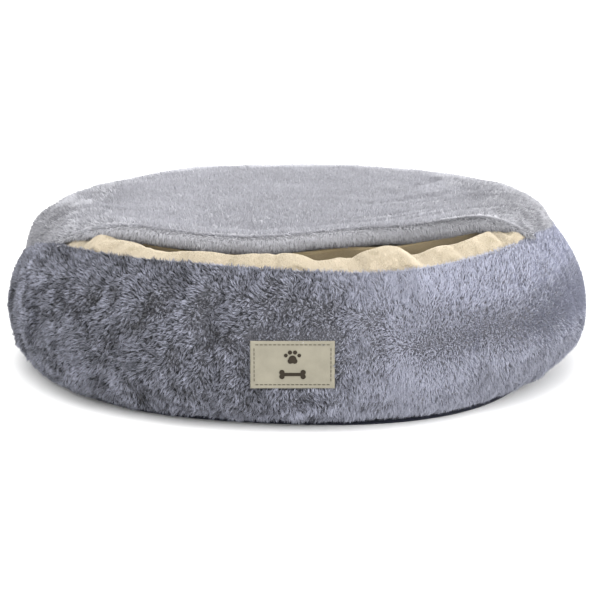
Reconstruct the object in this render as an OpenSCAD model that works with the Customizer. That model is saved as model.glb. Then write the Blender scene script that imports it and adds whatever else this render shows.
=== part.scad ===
// Round hooded pet bed: a fibre-filled ring wall in long faux fur, a plush hood sewn to
// the back and sides of its rim, a turned-back front lip and a loose cushion inside.
// Millimetres, +Z up. The origin is the middle of the base, on the floor. The mouth
// faces -Y. Sizes over fur and plush include the pile.

/* [Overall] */
// Outer diameter over the fur
bed_d = 600; // [590:1:620]
// Diameter where the fur wall turns under onto the base
base_d = 512; // [500:1:520]
// Height at the middle of the hood
bed_h = 174; // [172:1:180]
// Height of the widest line of the wall
widest_z = 66; // [60:1:72]
// Diameter of the nearly flat top of the hood
flat_d = 440; // [436:1:446]
// How full the curves of the wall are, 2 is an ellipse
fullness = 1.9; // [1.85:0.05:2]
// Rise of the hood from the edge of its flat top to its middle
crown = 5; // [4:1:8]

/* [Fabric layers] */
// Long fur of the wall, pile and backing
fur_t = 10; // [8:1:11]
// Short plush of the hood, pile and backing
plush_t = 6; // [5:0.5:7]
// Quilted wadding inside the hood
wadding_t = 3; // [2:0.5:3]
// Fleece of every lining
fleece_t = 2; // [1.5:0.5:2.5]
// Woven base fabric
base_t = 2; // [1.5:0.5:2.5]

/* [Ring wall] */
// Diameter of the cave at floor level
cave_d = 404; // [400:1:408]
// Diameter of the highest line of the ring filling
crest_d = 476; // [472:1:480]
// Height of that line
crest_h = 152; // [150:1:153]
// Angle up the shoulder at which fur, lining and hood are sewn together
rim_a = 54; // [52:1:56]

/* [Hood lip] */
// Distance from the middle of the bed to the front edge of the lip
lip_y = 185; // [182:1:188]
// Distance from the middle of the bed to the mouth corners
corner_y = 133; // [130:1:136]
// Distance from the middle of the bed to the fold line of the lip
fold_y = 148; // [147:1:149]
// Half width of the part of the lip that folds back
lip_half_w = 180; // [176:1:181]
// Diameter of the padded roll along the front edge
roll_d = 16; // [14:1:16]

/* [Cushion] */
// Thickness of the padded floor
pad_t = 12; // [10:1:14]
// Diameter of the loose cushion
cushion_d = 366; // [364:1:368]
// Thickness of the loose cushion at its edge
cushion_t = 40; // [38:1:42]
// Angle of the cushion's side that the zip takes up
zip_a = 70; // [60:1:80]

/* [Label] */
// Width of the woven label
label_w = 76; // [70:1:80]
// Height of the woven label
label_h = 44; // [40:1:46]
// Sideways place of the label's middle
label_x = -5; // [-10:1:10]

/* [Hidden] */
$fn = 96;

fur_grey = [0.55, 0.56, 0.61];
plush_grey = [0.72, 0.72, 0.75];
fleece_beige = [0.87, 0.81, 0.68];
fibre_white = [0.95, 0.95, 0.93];
base_navy = [0.09, 0.10, 0.14];
thread_grey = [0.45, 0.46, 0.50];
label_cream = [0.80, 0.77, 0.68];
label_brown = [0.30, 0.24, 0.16];
zip_metal = [0.62, 0.62, 0.64];

gap = 0.4;                          // between the folding lip and the fixed hood
bed_r = bed_d / 2;
base_r = base_d / 2;
flat_r = flat_d / 2;
flat_z = bed_h - crown;
crest_r = crest_d / 2;
cave_r = cave_d / 2;
hood_t = plush_t + wadding_t + fleece_t;
thread_r = 0.6;
base_seam_r = base_r + 10;          // where the turned-under fur meets the top of the base
base_edge_r = base_seam_r - thread_r;

// Points [r, z] along a quarter of a superellipse about [cr, cz], from angle a0 to a1
function bow(cr, cz, w, h, a0, a1, steps = 10) = [
    for (i = [0:steps])
        let (a = a0 + (a1 - a0) * i / steps)
        [
            cr + w * sign(cos(a)) * pow(abs(cos(a)), 2 / fullness),
            cz + h * sign(sin(a)) * pow(abs(sin(a)), 2 / fullness)
        ]
];

// A point of the wall's shoulder, a layer's depth in from the pile tips
function shoulder(a, depth) =
    bow(flat_r, widest_z, bed_r - flat_r - depth, flat_z - widest_z - depth, a, a, 1)[0];

rim_out = shoulder(rim_a, 0);
rim_in = shoulder(rim_a, fur_t);
rim_dir = (rim_out - rim_in) / norm(rim_out - rim_in);
rim_mid = (rim_out + rim_in) / 2;
corner_x = sqrt(pow(rim_out[0], 2) - pow(corner_y, 2));

// The lip's front edge is one arc through the mouth corners
lip_sag = lip_y - corner_y;
lip_r = (pow(corner_x, 2) + pow(lip_sag, 2)) / (2 * lip_sag);
lip_cy = lip_r - lip_y;
roll_r = roll_d / 2;
roll_z = bed_h - crown - roll_r;
lip_half_a = asin(lip_half_w / lip_r);

// The lip's stitches lie at the bottom of a groove along the back of the roll
stitch_groove_z = flat_z + 0.2;
stitch_thread = 0.9;
stitch_line_r = lip_r - roll_d - 1.5;

cushion_z = base_t + pad_t + fleece_t;
cushion_r = cushion_d / 2;
cushion_crown = 6;
cover_t = 1.5;
cushion_round = 10;
zip_z = cushion_z + cushion_t / 2;
tape_h = 9;
tape_t = 0.8;
tape_r = cushion_r + tape_t;
coil_r = 1;
coil_mid_r = tape_r + coil_r;
slider_gap = 0.35;
slider_w = 9;
slider_h = 9;
slider_in_r = tape_r + slider_gap;
slider_out_r = coil_mid_r + coil_r + slider_gap + 1.2;
pull_pin_r = slider_out_r + 1.5;
pull_l = 9;
pull_w = 5;
pull_t = 1;
pull_pin_t = 1;
pull_bore_r = 0.58;
stop_w = 3;

label_y = 294.6;                    // back face of the label, down in the pile
label_t = 1.4;
label_z = widest_z;
stitch_pitch = 4;
stitch_l = 2.6;
stitch_t = 0.5;
print_t = 0.4;

// ---- Sections in the half plane [r, z] ----

// Everything inside the bed's outer surface, less a layer's depth
module body_section(depth) {
    crown_steps = 5;
    polygon(concat(
        [[0, depth]],
        bow(base_r, widest_z, bed_r - base_r - depth, widest_z - depth, -90, -9),
        bow(flat_r, widest_z, bed_r - flat_r - depth, flat_z - widest_z - depth, 0, 90, 14),
        [for (i = [1:crown_steps])
            let (s = 1 - i / crown_steps)
            [flat_r * s, flat_z + crown * (1 - s * s) - depth]]
    ));
}

// The cave and hood side of the rim line
module hood_zone_section() {
    inner = rim_out - 60 * rim_dir;
    polygon([
        rim_out + 30 * rim_dir,
        inner,
        [inner[0], 0],
        [0, 0],
        [0, bed_h + 30],
        [rim_out[0], bed_h + 30]
    ]);
}

// The ring wall inside a lining of the given thickness, open towards the outside
module ring_section(lining) {
    end = rim_mid - [0, lining];
    polygon(concat(
        [[cave_r + lining, base_t]],
        [for (p = bow(crest_r, cushion_z, cave_r + lining - crest_r, crest_h - lining - cushion_z, 0, 90, 14)) p],
        [for (i = [1:6])
            let (a = 15 * i)
            [crest_r + (end[0] - crest_r) * sin(a), end[1] + (crest_h - lining - end[1]) * cos(a)]],
        [rim_in - [0, lining], [bed_r + 10, rim_in[1] - 30], [bed_r + 10, base_t]]
    ));
}

module seam_groove_section() {
    translate(rim_out)
        circle(thread_r);
    translate([base_seam_r, base_t])
        circle(thread_r);
}

module wall_cover_section() {
    difference() {
        body_section(0);
        body_section(fur_t);
        hood_zone_section();
        square([bed_r, base_t]);
        square([base_r, widest_z]);
        seam_groove_section();
    }
}

module wall_lining_section() {
    intersection() {
        difference() {
            ring_section(0);
            ring_section(fleece_t);
            seam_groove_section();
        }
        hood_zone_section();
    }
}

module wall_filling_section() {
    intersection() {
        ring_section(fleece_t);
        body_section(1);
        union() {
            body_section(fur_t);
            square([base_r, widest_z]);
            hood_zone_section();
        }
    }
}

module hood_section(from_t, to_t) {
    intersection() {
        difference() {
            body_section(from_t);
            body_section(to_t);
            ring_section(0);
            seam_groove_section();
        }
        hood_zone_section();
        translate([0, crest_h - 40])
            square([bed_r, bed_h]);
    }
}

module cushion_section(inset) {
    r = cushion_r - inset;
    z = cushion_z + inset;
    h = cushion_t - 2 * inset;
    round_r = cushion_round - inset;
    polygon(concat(
        [[0, z]],
        [for (i = [-6:0]) [r - round_r + round_r * cos(15 * i), z + round_r + round_r * sin(15 * i)]],
        [for (i = [0:6]) [r - round_r + round_r * cos(15 * i), z + h - round_r + round_r * sin(15 * i)]],
        [[0.6 * r, z + h + 0.7 * cushion_crown], [0, z + h + cushion_crown]]
    ));
}

// ---- Volumes that cut the hood ----

// Everything behind an arc parallel to the lip's front edge
module behind_arc(back_off) {
    translate([0, lip_cy, 0])
        cylinder(h = bed_h + 10, r = lip_r - back_off, $fn = 360);
}

// The bay in the hood that the folding lip fills, grown by a clearance
module lip_bay(grow) {
    translate([-lip_half_w - grow, -bed_r, crest_h - 40])
        cube([2 * (lip_half_w + grow), bed_r - fold_y + grow, 100]);
}

module fixed_hood_layer(from_t, to_t) {
    difference() {
        intersection() {
            rotate_extrude()
                hood_section(from_t, to_t);
            behind_arc(0);
        }
        lip_bay(gap);
    }
}

module lip_layer(from_t, to_t) {
    intersection() {
        rotate_extrude()
            hood_section(from_t, to_t);
        behind_arc(roll_d);
        lip_bay(0);
    }
}

// A bar of the given section radius along the lip, back_off behind its front edge
module lip_bar(r, back_off, z, half_a) {
    translate([0, lip_cy, z])
        rotate([0, 0, 270 - half_a])
            rotate_extrude(angle = 2 * half_a)
                translate([lip_r - back_off, 0])
                    circle(r, $fn = 32);
}

// A band on the cushion's side, from one angle to another about the middle of the back
module side_band(r, t, z, h, a0, a1) {
    rotate([0, 0, 90 + a0])
        rotate_extrude(angle = a1 - a0)
            translate([r, z])
                square([t, h]);
}

// ---- Ring wall and floor ----

module base_panel() {
    color(base_navy)
        cylinder(h = base_t, r = base_edge_r);
}

module floor_pad() {
    color(fibre_white)
        translate([0, 0, base_t])
            cylinder(h = pad_t, r = cave_r);
}

module floor_lining() {
    color(fleece_beige)
        translate([0, 0, base_t + pad_t])
            cylinder(h = fleece_t, r = cave_r);
}

module wall_filling() {
    color(fibre_white)
        rotate_extrude()
            wall_filling_section();
}

module wall_cover() {
    color(fur_grey)
        difference() {
            rotate_extrude()
                wall_cover_section();
            translate([label_x - label_w / 2, -bed_r - 1, label_z - label_h / 2])
                cube([label_w, bed_r + 1 - label_y, label_h]);
        }
}

module wall_lining() {
    color(fleece_beige)
        rotate_extrude()
            wall_lining_section();
}

module base_seam() {
    color(thread_grey)
        rotate_extrude()
            translate([base_seam_r, base_t])
                circle(thread_r, $fn = 16);
}

module rim_seam() {
    color(thread_grey)
        rotate_extrude()
            translate(rim_out)
                circle(thread_r, $fn = 16);
}

// ---- Hood ----

module hood_panel() {
    color(plush_grey)
        fixed_hood_layer(0, plush_t);
}

module hood_wadding() {
    color(fibre_white)
        fixed_hood_layer(plush_t, plush_t + wadding_t);
}

module hood_lining() {
    color(fleece_beige)
        fixed_hood_layer(plush_t + wadding_t, hood_t);
}

// Dense stitching that holds each end of the lip to the rim
module corner_tacks() {
    tack = [12, 2, 1.6];
    color(thread_grey)
        for (side = [-1, 1])
            translate([side * (corner_x + 3), -corner_y - 6, rim_out[1] + 0.3])
                rotate([0, 0, side * 30])
                    translate([-tack[0] / 2, -tack[1] / 2, 0])
                        cube(tack);
}

module lip_panel() {
    groove_w = stitch_thread + 0.2;
    color(plush_grey)
        difference() {
            lip_layer(0, plush_t);
            translate([0, lip_cy, stitch_groove_z])
                rotate_extrude($fn = 360)
                    translate([stitch_line_r - 0.1, 0])
                        square([groove_w, bed_h]);
        }
}

module lip_wadding() {
    color(fibre_white)
        lip_layer(plush_t, plush_t + wadding_t);
}

module lip_lining() {
    color(fleece_beige)
        lip_layer(plush_t + wadding_t, hood_t);
}

// The roll thins out towards the corners, where the fold line crosses it
module lip_roll() {
    color(plush_grey)
        intersection() {
            difference() {
                lip_bar(roll_r, roll_r, roll_z, lip_half_a);
                lip_bar(roll_r - plush_t / 2, roll_r, roll_z, lip_half_a);
            }
            lip_bay(0);
        }
}

module lip_roll_core() {
    color(fibre_white)
        intersection() {
            lip_bar(roll_r - plush_t / 2, roll_r, roll_z, lip_half_a);
            lip_bay(0);
        }
}

// The line of stitches that closes the roll
module lip_stitching() {
    stitch_a = 0.35;
    step_a = 0.6;
    fold_a = acos((fold_y + lip_cy) / stitch_line_r);
    count = floor(fold_a / step_a) - 1;
    color(thread_grey)
        for (i = [-count:count])
            translate([0, lip_cy, stitch_groove_z])
                rotate([0, 0, 270 + i * step_a])
                    rotate_extrude(angle = stitch_a)
                        translate([stitch_line_r, 0])
                            square(stitch_thread);
}

// ---- Cushion and its zip ----

module cushion_cover() {
    color(fleece_beige)
        rotate_extrude()
            difference() {
                cushion_section(0);
                cushion_section(cover_t);
            }
}

module cushion_filling() {
    color(fibre_white)
        rotate_extrude()
            cushion_section(cover_t);
}

module zip_tape() {
    color(plush_grey)
        for (z = [zip_z - tape_h - 0.5, zip_z + 0.5])
            side_band(cushion_r, tape_t, z, tape_h, -zip_a / 2, zip_a / 2);
}

module zip_coil() {
    color(thread_grey)
        rotate([0, 0, 90 - zip_a / 2 + 2])
            rotate_extrude(angle = zip_a - 4)
                translate([coil_mid_r, zip_z])
                    circle(coil_r, $fn = 24);
}

module zip_stops() {
    color(zip_metal)
        for (a = [-zip_a / 2 + 0.8, zip_a / 2 - 1.6])
            side_band(tape_r, 1.6, zip_z - stop_w / 2, stop_w, a, a + 0.8);
}

// At rest the slider is at the zip's closed end. The channel under it clears the coil
module zip_slider() {
    start_a = -zip_a / 2 + 4;
    channel = 2 * (coil_r + slider_gap);
    color(zip_metal)
        rotate([0, 0, 90 + start_a]) {
            difference() {
                translate([slider_in_r, -slider_w / 2, zip_z - slider_h / 2])
                    cube([slider_out_r - slider_in_r, slider_w, slider_h]);
                translate([0, 0, zip_z - channel / 2])
                    cylinder(h = channel, r = coil_mid_r + coil_r + slider_gap);
            }
            // two lugs and the pin that carries the pull
            for (z = [zip_z - pull_w / 2 - 1.4, zip_z + pull_w / 2 + 0.4])
                translate([slider_out_r, -1.2, z])
                    cube([2.6, 2.4, 1]);
            translate([pull_pin_r, 0, zip_z - pull_w / 2 - 0.8])
                cylinder(h = pull_w + 1.6, r = pull_pin_t / 2);
        }
}

module zip_pull() {
    start_a = -zip_a / 2 + 4;
    color(zip_metal)
        rotate([0, 0, 90 + start_a])
            translate([pull_pin_r, 0, zip_z - pull_w / 2])
                difference() {
                    union() {
                        cylinder(h = pull_w, r = 1.15);
                        translate([-pull_t / 2, 0.6, 0])
                            cube([pull_t, pull_l, pull_w]);
                    }
                    translate([0, 0, -1])
                        cylinder(h = pull_w + 2, r = pull_bore_r);
                }
}

// ---- Labels ----

module label_patch() {
    color(label_cream)
        translate([label_x - label_w / 2, -label_y - label_t, label_z - label_h / 2])
            cube([label_w, label_t, label_h]);
}

// A row of stitches of one side of the label's border, centred on the label
module stitch_row(side_l, across, upright) {
    count = floor(side_l / stitch_pitch);
    for (i = [0:count - 1]) {
        along = (i - (count - 1) / 2) * stitch_pitch;
        size = upright ? [stitch_t, print_t, stitch_l] : [stitch_l, print_t, stitch_t];
        place = upright ? [across, 0, along] : [along, 0, across];
        translate([label_x, -label_y - label_t - print_t, label_z] + place - [size[0] / 2, 0, size[2] / 2])
            cube(size);
    }
}

module label_stitching() {
    border = 3.5;
    half_w = label_w / 2 - border;
    half_h = label_h / 2 - border;
    color(label_brown)
        for (side = [-1, 1]) {
            stitch_row(2 * half_w, side * half_h, false);
            stitch_row(2 * half_h - 2, side * half_w, true);
        }
}

// A paw print over a bone
module label_emblem() {
    color(label_brown)
        translate([label_x, -label_y - label_t, label_z])
            rotate([90, 0, 0])
                linear_extrude(print_t) {
                    translate([0, 5]) {
                        circle(3.6);
                        for (side = [-1, 1]) {
                            translate([side * 2, -1.6])
                                circle(2.4);
                            translate([side * 6, 3.6])
                                circle(1.7);
                            translate([side * 2.3, 6.4])
                                circle(1.9);
                        }
                    }
                    translate([-9, -10.5])
                        square([18, 3]);
                    for (side = [-1, 1], up = [-1, 1])
                        translate([side * 9.5, -9 + up * 1.9])
                            circle(2.4);
                }
}

module care_label() {
    color("white")
        translate([-12, base_seam_r + thread_r, base_t - 0.5])
            cube([24, 26, 0.6]);
}

base_panel();
floor_pad();
floor_lining();
wall_filling();
wall_cover();
wall_lining();
base_seam();
rim_seam();
hood_panel();
hood_wadding();
hood_lining();
corner_tacks();
lip_panel();
lip_wadding();
lip_lining();
lip_roll();
lip_roll_core();
lip_stitching();
cushion_cover();
cushion_filling();
zip_tape();
zip_coil();
zip_stops();
zip_slider();
zip_pull();
label_patch();
label_stitching();
label_emblem();
care_label();
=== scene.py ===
import math

import bpy
import numpy as np
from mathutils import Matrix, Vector, kdtree


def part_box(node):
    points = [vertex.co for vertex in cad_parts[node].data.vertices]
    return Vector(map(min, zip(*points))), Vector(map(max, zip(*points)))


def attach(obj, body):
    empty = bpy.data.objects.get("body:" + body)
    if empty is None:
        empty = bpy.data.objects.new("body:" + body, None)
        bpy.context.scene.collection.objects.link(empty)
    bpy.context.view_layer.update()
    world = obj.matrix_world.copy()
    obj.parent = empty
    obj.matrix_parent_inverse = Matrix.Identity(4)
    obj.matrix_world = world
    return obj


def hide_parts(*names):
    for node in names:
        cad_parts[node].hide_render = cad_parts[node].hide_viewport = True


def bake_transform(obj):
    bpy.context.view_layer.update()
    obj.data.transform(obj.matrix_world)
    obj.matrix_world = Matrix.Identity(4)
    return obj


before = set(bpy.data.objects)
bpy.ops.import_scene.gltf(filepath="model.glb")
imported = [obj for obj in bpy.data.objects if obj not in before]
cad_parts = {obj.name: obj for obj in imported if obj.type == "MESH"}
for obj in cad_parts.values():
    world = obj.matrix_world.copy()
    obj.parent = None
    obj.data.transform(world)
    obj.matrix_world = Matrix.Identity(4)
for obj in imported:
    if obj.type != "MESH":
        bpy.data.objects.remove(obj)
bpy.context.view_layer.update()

# ==== Sizes ====
# In metres. Angles are in degrees, round the bed from the mouth (-Y)
# towards +X, or up the wall's section from its widest line.

BED_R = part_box("wall_cover")[1].x
HOOD_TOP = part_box("hood_panel")[1].z
CREST_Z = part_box("wall_lining")[1].z
BASE_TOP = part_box("base_panel")[1].z
BASE_CLOTH_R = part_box("base_panel")[1].x - 0.0070
BASE_SHIFT = 0.009
FOOT_OUT = 0.020
FLOOR_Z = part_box("floor_lining")[1].z
CAVE_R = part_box("floor_lining")[1].x
CREST_R = 0.240
WIDEST_Z = 0.066
BASE_R = 0.256
FLAT_R = 0.220
CROWN = 0.0035
FULLNESS = 1.9

RIM_ANGLE = 54.0
CORNER_Y = -0.133
LIP_FRONT_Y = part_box("lip_roll")[0].y

FUR_DEPTH = 0.008
PLUSH_DEPTH = 0.0035
HOOD_THICK = 0.0095
ROLL_H = 0.019
ROLL_DEEP = 0.015
ROLL_FULLNESS = 2.3
BASE_LEAN = 0.012
FOOT_ANGLE = -83.0

# The folds of fleece along the front rim: angle, half width, rise in millimetres
FRONT_FOLDS = (
    (-50, 11, 3.6),
    (-31, 6, -5.5),
    (-14, 9, -2.6),
    (5, 4, -9.0),
    (11.5, 3, -5.5),
    (20.5, 3.6, 3.6),
    (28, 4.5, -7.5),
    (38, 5, -3.0),
    (52, 8, 6.0),
    (63, 8, 9.0),
)
# Creases pulled in the hood: from x, y, to x, y, bow, half width, depth, in millimetres
CREASES = (
    (56, -128, 232, -22, 9, 5.5, 5.6),
    (92, -128, 236, -44, 8, 5, 5.0),
    (60, -60, 200, 60, 10, 9, 3.2),
    (150, 22, 236, 16, 3, 6, 3.0),
    (112, 44, 160, 134, 4, 8, 3.4),
    (-165, -75, -232, -60, 4, 7, 1.8),
)
# How the lip's lower edge hangs from corner to corner: x, height, in millimetres
LIP_HANG = (
    (-229, 147),
    (-190, 155),
    (-150, 151),
    (-100, 146),
    (-40, 144.5),
    (10, 149.5),
    (60, 153),
    (100, 152.5),
    (150, 158),
    (190, 163),
    (212, 158),
    (229, 147),
)


# ==== Small numeric helpers ====


def smooth(low, high, x):
    """0 below low, 1 above high, and an even S between them."""
    t = np.clip((np.asarray(x, float) - low) / (high - low), 0, 1)
    return t * t * (3 - 2 * t)


def bump(x, middle, half_width):
    """A bell of height 1 about middle."""
    return np.exp(-(((np.asarray(x, float) - middle) / half_width) ** 2))


def turn_gap(angle, middle):
    """The signed difference between two angles round the bed."""
    return (np.asarray(angle, float) - middle + 180) % 360 - 180


def mixed(a, b, share):
    """a where share is 1, b where it is 0."""
    return a * share + b * (1 - share)


def unit(v):
    return v / np.maximum(np.linalg.norm(v, axis=-1, keepdims=True), 1e-12)


def lattice(i, j, k, seed):
    """A repeatable number from -1 to 1 for each whole-number corner."""
    h = (i * 374761393 + j * 668265263 + k * 2147483647 + seed * 1274126177) & 0xFFFFFFFF
    h = ((h ^ (h >> 13)) * 1274126177) & 0xFFFFFFFF
    h = h ^ (h >> 16)
    return (h & 0xFFFF) / 32767.5 - 1.0


def noise(points, size, seed=0):
    """Smooth noise from -1 to 1, with features of about the given size."""
    q = np.asarray(points, float) / size
    base = np.floor(q).astype(np.int64)
    f = q - base
    f = f * f * (3 - 2 * f)
    total = np.zeros(q.shape[:-1])
    for corner in range(8):
        d = [(corner >> axis) & 1 for axis in range(3)]
        weight = np.ones(q.shape[:-1])
        for axis in range(3):
            weight = weight * (f[..., axis] if d[axis] else 1 - f[..., axis])
        cell = [base[..., axis] + d[axis] for axis in range(3)]
        total = total + weight * lattice(*cell, seed)
    return total


def power_curve(angle, fullness=FULLNESS):
    """(cos, sin) of an angle in degrees on a superellipse."""
    c, s = np.cos(np.radians(angle)), np.sin(np.radians(angle))
    e = 2 / fullness
    return np.sign(c) * np.abs(c) ** e, np.sign(s) * np.abs(s) ** e


# ==== The bed's outer form, as (radius, height) for an angle up its section ====


def shell(angle, depth):
    """The wall and shoulder, a layer's depth in from the pile's tips."""
    c, s = power_curve(np.asarray(angle, float))
    low = np.asarray(angle) < 0
    centre_r = np.where(low, BASE_R, FLAT_R)
    height = np.where(low, WIDEST_Z, HOOD_TOP - CROWN - WIDEST_Z) - depth
    r = centre_r + (BED_R - centre_r - depth) * c
    return r, WIDEST_Z + height * s


def rim_angle(turn):
    """Where fur and hood or lining are sewn together. The seam sits low on the left."""
    left_dip = 26 * bump(turn_gap(turn, -92), 0, 20)
    right_side = 5.5 * bump(turn_gap(turn, 64), 0, 20) - 5 * bump(turn_gap(turn, 92), 0, 24)
    front = 3.4 * bump(turn_gap(turn, -22), 0, 20) - 2.5 * bump(turn_gap(turn, 18), 0, 15)
    back_dip = 5 * bump(turn_gap(turn, 180), 0, 60)
    return RIM_ANGLE - left_dip + right_side + front - back_dip


def rim_height(turn):
    return shell(rim_angle(turn), FUR_DEPTH)[1]


def foot_out(turn):
    """How far the base reaches out to the right of the middle of the front."""
    return FOOT_OUT * bump(turn_gap(turn, 30), 0, 24)


def place(turn, r, z):
    """Points in the bed's frame. The base leans out to the left under the wall, and the
    sides are squeezed in a little: the right at its shoulder, the left above its widest line.
    The wall is fuller at its foot towards the right."""
    turn, r, z = np.broadcast_arrays(turn, r, z)
    a = np.radians(turn)
    right = 0.0035 * bump(turn_gap(turn, 90), 0, 34) * smooth(0.075, 0.12, z)
    left = 0.003 * bump(turn_gap(turn, -90), 0, 34) * bump(z, 0.105, 0.035)
    full_foot = 0.007 * bump(turn_gap(turn, 66), 0, 30) * bump(z, 0.022, 0.042)
    full_foot = full_foot + foot_out(turn) * smooth(0.04, 0, z)
    r = r + (full_foot - right - left) * smooth(0.2, 0.25, r)
    x = r * np.sin(a) - BASE_LEAN * smooth(0.3, 1, 1 - z / WIDEST_Z) * smooth(0.12, 0.26, r)
    return np.stack([x, -r * np.cos(a), z], -1)


def corner_x():
    r, _ = shell(RIM_ANGLE, 0)
    return math.sqrt(float(r) ** 2 - CORNER_Y**2)


CORNER_X = corner_x()
LIP_SAG = CORNER_Y - LIP_FRONT_Y
LIP_R = (CORNER_X**2 + LIP_SAG**2) / (2 * LIP_SAG)
LIP_CENTRE_Y = LIP_FRONT_Y + LIP_R
CORNER_TURN = math.degrees(math.atan2(CORNER_X, -CORNER_Y))


def lip_y(x):
    return LIP_CENTRE_Y - np.sqrt(LIP_R**2 - np.asarray(x, float) ** 2)


def lip_low_z(x):
    """Height of the lip's lower edge, by smooth steps between the chosen points."""
    xs = np.array([p[0] for p in LIP_HANG]) / 1000
    zs = np.array([p[1] for p in LIP_HANG]) / 1000
    x = np.clip(np.asarray(x, float), xs[0], xs[-1])
    near = sum(np.interp(x + d, xs, zs) for d in np.linspace(-0.018, 0.018, 9))
    return near / 9


def roll_height(x):
    """The padded roll tapers into the mouth corners."""
    return ROLL_H * (1 - 0.6 * smooth(0.15, CORNER_X, np.abs(x)))


def roll_depth(x):
    return ROLL_DEEP * roll_height(x) / ROLL_H


def roll_r(turn, share):
    """Radius at which a ray from the middle meets the roll, a share of its depth from its front."""
    a = np.radians(turn)
    along = -np.cos(a) * LIP_CENTRE_Y
    edge = along + np.sqrt(along**2 - LIP_CENTRE_Y**2 + LIP_R**2)
    return edge - share * roll_depth(edge * np.sin(a))


# ==== Meshes ====


def add_to_scene(name, data):
    """A new object in the scene for a mesh, camera or light."""
    obj = bpy.data.objects.new(name, data)
    bpy.context.scene.collection.objects.link(obj)
    return obj


def new_object(name, points, faces, material, smooth_shade=True):
    """A mesh object of one material. The points may come as a grid of any shape."""
    mesh = bpy.data.meshes.new(name)
    points = np.asarray(points, float).reshape(-1, 3)
    mesh.from_pydata(points.tolist(), [], [list(f) for f in faces])
    mesh.materials.append(material)
    mesh.polygons.foreach_set("use_smooth", [smooth_shade] * len(mesh.polygons))
    mesh.update()
    return add_to_scene(name, mesh)


def grid_faces(rows, columns, closed_columns):
    """Quads of a rows x columns grid of points, stored row by row."""
    r = np.arange(rows - 1)[:, None]
    c = np.arange(columns if closed_columns else columns - 1)[None, :]
    c2 = (c + 1) % columns
    quads = [r * columns + c, r * columns + c2, (r + 1) * columns + c2, (r + 1) * columns + c]
    return np.stack(quads, -1).reshape(-1, 4)


def mesh_points(mesh):
    co = np.empty(len(mesh.vertices) * 3, np.float32)
    mesh.vertices.foreach_get("co", co)
    return co.reshape(-1, 3).astype(float)


def points_of(obj):
    return mesh_points(obj.data)


def set_points(obj, points):
    obj.data.vertices.foreach_set("co", np.asarray(points, np.float32).ravel())
    obj.data.update()


def capped_faces(rows, columns):
    """The quads of a closed tube, and a face over each of its ends."""
    last = (rows - 1) * columns
    faces = [list(f) for f in grid_faces(rows, columns, True)]
    return faces + [list(range(columns))[::-1], list(range(last, last + columns))]


def subdivide(obj):
    """Rounds the mesh by one step of Catmull-Clark subdivision, and applies it."""
    modifier = obj.modifiers.new("round", "SUBSURF")
    modifier.levels = modifier.render_levels = 1
    bake_modifiers(obj)


def thicken(obj, thickness):
    """Gives a sheet its thickness, inwards from its face."""
    modifier = obj.modifiers.new("cloth", "SOLIDIFY")
    modifier.thickness = thickness
    modifier.offset = -1
    bake_modifiers(obj)


def bake_modifiers(obj):
    graph = bpy.context.evaluated_depsgraph_get()
    mesh = bpy.data.meshes.new_from_object(obj.evaluated_get(graph))
    obj.modifiers.clear()
    old = obj.data
    obj.data = mesh
    bpy.data.meshes.remove(old)
    mesh.name = obj.name


def relax_as_cloth(obj, pins, frames=14, pressure=0.0, slack=0.0, gravity=0.0, cap=0.006, stiff=15.0):
    """Cloth simulation of a finished form: slack cloth buckles and pressure swells it.

    pins holds a weight per vertex, 1 where it is sewn down. No point moves past cap."""
    rest = points_of(obj)
    group = obj.vertex_groups.new(name="sewn")
    for level in np.unique(np.round(pins, 2)):
        if level > 0:
            members = np.nonzero(np.round(pins, 2) == level)[0].tolist()
            group.add(members, float(level), "REPLACE")
    cloth = obj.modifiers.new("cloth", "CLOTH")
    s = cloth.settings
    s.quality = 6
    s.mass = 0.25
    s.tension_stiffness = s.compression_stiffness = stiff
    s.shear_stiffness = stiff * 0.4
    s.bending_stiffness = 0.4
    s.air_damping = 4
    s.vertex_group_mass = group.name
    s.pin_stiffness = 2
    s.shrink_min = -slack
    s.effector_weights.gravity = gravity
    s.use_pressure = pressure > 0
    s.uniform_pressure_force = pressure
    cloth.collision_settings.use_self_collision = False
    cloth.point_cache.frame_end = frames
    scene = bpy.context.scene
    for f in range(1, frames + 1):
        scene.frame_set(f)
    graph = bpy.context.evaluated_depsgraph_get()
    moved = mesh_points(obj.evaluated_get(graph).to_mesh())
    obj.evaluated_get(graph).to_mesh_clear()
    obj.modifiers.clear()
    scene.frame_set(1)
    move = np.nan_to_num(moved - rest)
    length = np.linalg.norm(move, axis=1, keepdims=True)
    set_points(obj, rest + move * np.minimum(1, cap / np.maximum(length, 1e-9)))


# ==== Materials ====


def blank_material(name):
    material = bpy.data.materials.new(name)
    material.use_nodes = True
    return material, material.node_tree


def add_node(tree, kind, **values):
    made = tree.nodes.new(kind)
    for key, value in values.items():
        if key in made.inputs:
            made.inputs[key].default_value = value
        else:
            setattr(made, key, value)
    return made


def object_coords(tree):
    return add_node(tree, "ShaderNodeTexCoord").outputs["Object"]


def noise_node(tree, vector, per_metre, detail, roughness):
    made = add_node(tree, "ShaderNodeTexNoise", Scale=per_metre, Detail=detail, Roughness=roughness)
    tree.links.new(vector, made.inputs["Vector"])
    return made.outputs["Fac"]


def scaled(tree, value, factor, plus=0.0):
    """value * factor + plus, where plus may be a number or another node's output."""
    made = add_node(tree, "ShaderNodeMath", operation="MULTIPLY_ADD")
    tree.links.new(value, made.inputs[0])
    made.inputs[1].default_value = factor
    if isinstance(plus, float):
        made.inputs[2].default_value = plus
    else:
        tree.links.new(plus, made.inputs[2])
    return made.outputs[0]


def range_node(tree, factor, low, high):
    made = add_node(tree, "ShaderNodeMapRange")
    tree.links.new(factor, made.inputs["Value"])
    made.inputs["To Min"].default_value = low
    made.inputs["To Max"].default_value = high
    return made.outputs[0]


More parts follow.
